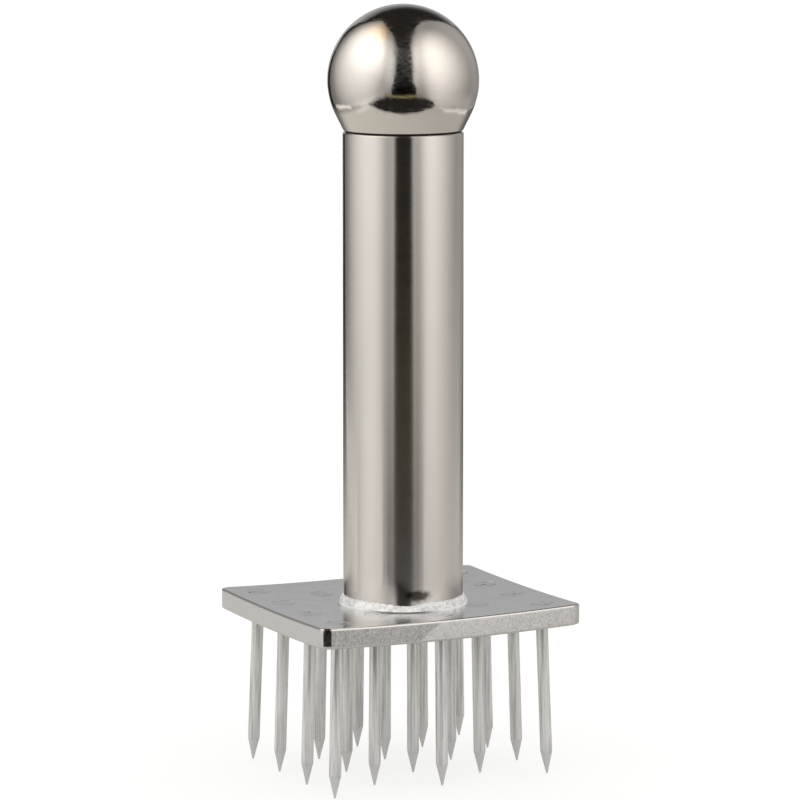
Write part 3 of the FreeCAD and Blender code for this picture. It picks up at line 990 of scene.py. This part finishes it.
top_loop, bottom_loop = face_grid(0.0, False), face_grid(PLATE_THICKNESS, True)
print("outline:", len(top_loop), "points")

# %% Rounded edges and sides
EDGE_STEPS = 5
SIDE_ROWS = 8
LONG_SIDES, ENDS, CORNERS_AND_EDGES = 1, 2, 3  # places of their metals on the plate
TURNED_OFF = 0.2  # a face turned this far off both sides belongs to a corner


def outward(spot):
    """Direction out of the plate at a point of its outline, square to its two neighbours."""
    before, after = top_loop[spot - 1].co, top_loop[(spot + 1) % len(top_loop)].co
    direction = (after - before).to_2d().normalized()
    return Vector((direction.y, -direction.x))


quarter = [math.pi / 2 * step / EDGE_STEPS for step in range(1, EDGE_STEPS + 1)]
edge = [(PLATE_EDGE_ROUND * math.sin(a), PLATE_EDGE_ROUND * (1 - math.cos(a))) for a in quarter]
side_height = PLATE_THICKNESS - 2 * PLATE_EDGE_ROUND
section = edge + [(PLATE_EDGE_ROUND, PLATE_EDGE_ROUND + side_height * row / SIDE_ROWS)
                  for row in range(1, SIDE_ROWS)]
section += [(out, PLATE_THICKNESS - down) for out, down in edge[::-1]]
loops = [top_loop]
for out, down in section:
    loop = []
    for spot, vertex in enumerate(top_loop):
        x, y = vertex.co.to_2d() + outward(spot) * out
        loop.append(built.verts.new((x, y, dish_z(x, y, down))))
    loops.append(loop)
loops.append(bottom_loop)
for level, (loop, next_loop) in enumerate(zip(loops, loops[1:])):
    for spot in range(len(loop)):
        after = (spot + 1) % len(loop)
        face = built.faces.new([loop[after], loop[spot], next_loop[spot], next_loop[after]])
        facing = outward(spot) + outward(after)
        on_edge = level < EDGE_STEPS or level >= len(loops) - 1 - EDGE_STEPS
        if on_edge or min(abs(facing.x), abs(facing.y)) > TURNED_OFF:
            face.material_index = CORNERS_AND_EDGES
        else:
            face.material_index = LONG_SIDES if abs(facing.y) > abs(facing.x) else ENDS
bmesh.ops.recalc_face_normals(built, faces=built.faces)
plate_mesh = bpy.data.meshes.new("plate")
built.to_mesh(plate_mesh)
built.free()
plate = join_object("plate", plate_mesh, ground_steel, sawn_steel, end_steel, edge_steel)
print("plate blank:", len(plate_mesh.polygons), "faces")

# %% Drill the plate
HOLE_RADIUS = PIN_RADIUS + PIN_HOLE_CLEARANCE
SPARE = 2.0 * MM
PLATE_SHARP_ANGLE = 28

drill_profile = [(0, SPARE), (PLUG_RADIUS, SPARE), (PLUG_RADIUS, 0.0), (HOLE_RADIUS, -PLUG_DEPTH),
                 (HOLE_RADIUS, -PLATE_THICKNESS - SPARE), (0, -PLATE_THICKNESS - SPARE)]
drills = on_the_places("drills", drill_profile, PLUG_STEPS, sawn_steel)
drilling = plate.modifiers.new("drilling", "BOOLEAN")
drilling.object = drills
drilling.operation = "DIFFERENCE"
drilling.solver = "EXACT"
graph = bpy.context.evaluated_depsgraph_get()
drilled = bpy.data.meshes.new_from_object(plate.evaluated_get(graph))
plate.modifiers.clear()
plate.data = drilled
bpy.data.objects.remove(drills)
drilled.shade_smooth()
drilled.set_sharp_from_angle(angle=math.radians(PLATE_SHARP_ANGLE))
print("plate:", len(drilled.polygons), "faces")

# %% [markdown]
# ## The weld round the foot
# A fillet weld laid by hand in one turn and dressed with a file. One section follows a circle by
# Geometry Nodes, and noise makes it swell and shrink as a hand-held torch does. A torus could be
# pushed into shape instead, but a drawn section keeps the sharp toe and the hidden root.

# %% Tree of the weld bead
bead_tree, given, result = new_tree(
    "weld_bead", Material=["Finish"], Object=["Section"], Int=["Steps"],
    Float=["Path radius", "Ripples", "Ripple depth", "Lump size", "Lump height"])
tree = bead_tree
circle = add_node(tree, "GeometryNodeCurvePrimitiveCircle", {
    "Radius": given["Path radius"], "Resolution": given["Steps"]})
shape = add_node(tree, "GeometryNodeObjectInfo", {"Object": given["Section"]}).outputs["Geometry"]
bead = add_node(tree, "GeometryNodeCurveToMesh", {"Curve": circle, "Profile Curve": shape})
place = add_node(tree, "GeometryNodeInputPosition")
parts = add_node(tree, "ShaderNodeSeparateXYZ", {0: place}).outputs
angle = maths(tree, "ARCTAN2", parts["Y"], parts["X"])
phase = maths(tree, "MULTIPLY", angle, given["Ripples"])
wave = maths(tree, "SINE", phase)
ripple = maths(tree, "MULTIPLY", wave, given["Ripple depth"])
lump_scale = maths(tree, "DIVIDE", 1.0, given["Lump size"])
lumps = add_node(tree, "ShaderNodeTexNoise", {"Vector": place, "Scale": lump_scale, "Detail": 2.0})
lump = ramp(tree, lumps, 0.3, 0.7, -1.0, 1.0, clamp=False)
swell = maths(tree, "MULTIPLY", lump, given["Lump height"])
amount = maths(tree, "ADD", ripple, swell)
normal = add_node(tree, "GeometryNodeInputNormal")
offset = vectors(tree, "SCALE", normal, Scale=amount)
laid = add_node(tree, "GeometryNodeSetPosition", {"Geometry": bead, "Offset": offset})
smooth = add_node(tree, "GeometryNodeSetShadeSmooth", {"Geometry": laid})
real = add_node(tree, "GeometryNodeRealizeInstances", {"Geometry": smooth})
finished = add_node(tree, "GeometryNodeSetMaterial", {
    "Geometry": real, "Material": given["Finish"]})
feed(result, {0: finished})
print("tree", bead_tree.name, "has", len(bead_tree.nodes), "nodes")

# %% Section of the bead
BEAD_BULGE = 0.2 * MM
BEAD_ROOT_IN = 0.4 * MM
BEAD_ROOT_DOWN = 0.35 * MM
BEAD_ROOT_SHARE = 0.9  # of the height, where the bead enters the tube's wall
BEAD_BULGE_UP_SHARE = 0.4
BEAD_FACE_STEPS = 8

toe_out = WELD_TOE_RADIUS - TUBE_RADIUS
outline = [(-BEAD_ROOT_IN, WELD_HEIGHT * BEAD_ROOT_SHARE), (0.0, WELD_HEIGHT)]
for step in range(1, BEAD_FACE_STEPS):
    share = step / BEAD_FACE_STEPS
    bulge = BEAD_BULGE * math.sin(math.pi * share)
    outline.append((toe_out * share + bulge,
                    WELD_HEIGHT * (1 - share) + bulge * BEAD_BULGE_UP_SHARE))
outline += [(toe_out, 0.0), (toe_out, -BEAD_ROOT_DOWN), (-BEAD_ROOT_IN, -BEAD_ROOT_DOWN)]
section_curve = bpy.data.curves.new("bead_section", "CURVE")
section_curve.dimensions = "3D"
spline = section_curve.splines.new("POLY")
spline.points.add(len(outline) - 1)
for spot, (out, up) in zip(spline.points, outline):
    spot.co = (out, -up, 0, 1)  # a section hangs upside down from its path
spline.use_cyclic_u = True
section_object = bpy.data.objects.new("bead_section", section_curve)
bpy.context.scene.collection.objects.link(section_object)
print("bead section:", len(outline), "points")

# %% Weld bead
BEAD_STEPS = 360
BEAD_START_DIP = 0.28  # the share of its height that the bead lacks where the run began
BEAD_START_HALF_WIDTH = math.radians(15)
TOE_LINE = 0.23 * MM  # painted shadow where the bead meets the plate

weld_mesh = made_by(bead_tree, "weld", {
    "Finish": weld_steel, "Section": section_object, "Path radius": TUBE_RADIUS,
    "Steps": BEAD_STEPS, "Ripples": 58.0, "Ripple depth": 0.04 * MM, "Lump size": 4.0 * MM,
    "Lump height": 0.16 * MM})
bpy.data.objects.remove(section_object)
weld = join_object("weld", weld_mesh, painted_toe_shadow)
start = TO_CAMERA.to_2d()
for vertex in weld_mesh.vertices:
    turn = start.angle(vertex.co.to_2d())
    dip = BEAD_START_DIP * math.exp(-((turn / BEAD_START_HALF_WIDTH) ** 2))
    if vertex.co.z > 0:
        vertex.co.z *= 1 - dip
    vertex.co += HANDLE
    vertex.co.z += dish_z(vertex.co.x, vertex.co.y)
# The faces at the toe take the painted shadow.
for face in weld_mesh.polygons:
    if face.center.z - dish_z(face.center.x, face.center.y) < TOE_LINE:
        face.material_index = 1
print("weld box", [round(c / MM, 2) for v in (weld.bound_box[0], weld.bound_box[6]) for c in v])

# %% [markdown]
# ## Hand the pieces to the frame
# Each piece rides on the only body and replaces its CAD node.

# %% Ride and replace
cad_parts["knob_spigot"].material_slots[0].material = turned_steel
pin_nodes = sorted(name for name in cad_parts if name.startswith("pin_row"))
for piece, slot, nodes in (
    (ball, "polished_steel", ["ball_knob"]),
    (tube, "brushed_tube", ["handle_tube"]),
    (weld, "weld_bead", ["handle_weld"]),
    (plate, "ground_plate", ["needle_plate"]),
    (plugs, "ground_plate", ["plug_welds"]),
    (pins, "drawn_pin", pin_nodes),
):
    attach(piece, "root")
    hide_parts(*nodes)
print("pieces:", len(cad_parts), "nodes stood for by 6 pieces and the spigot")
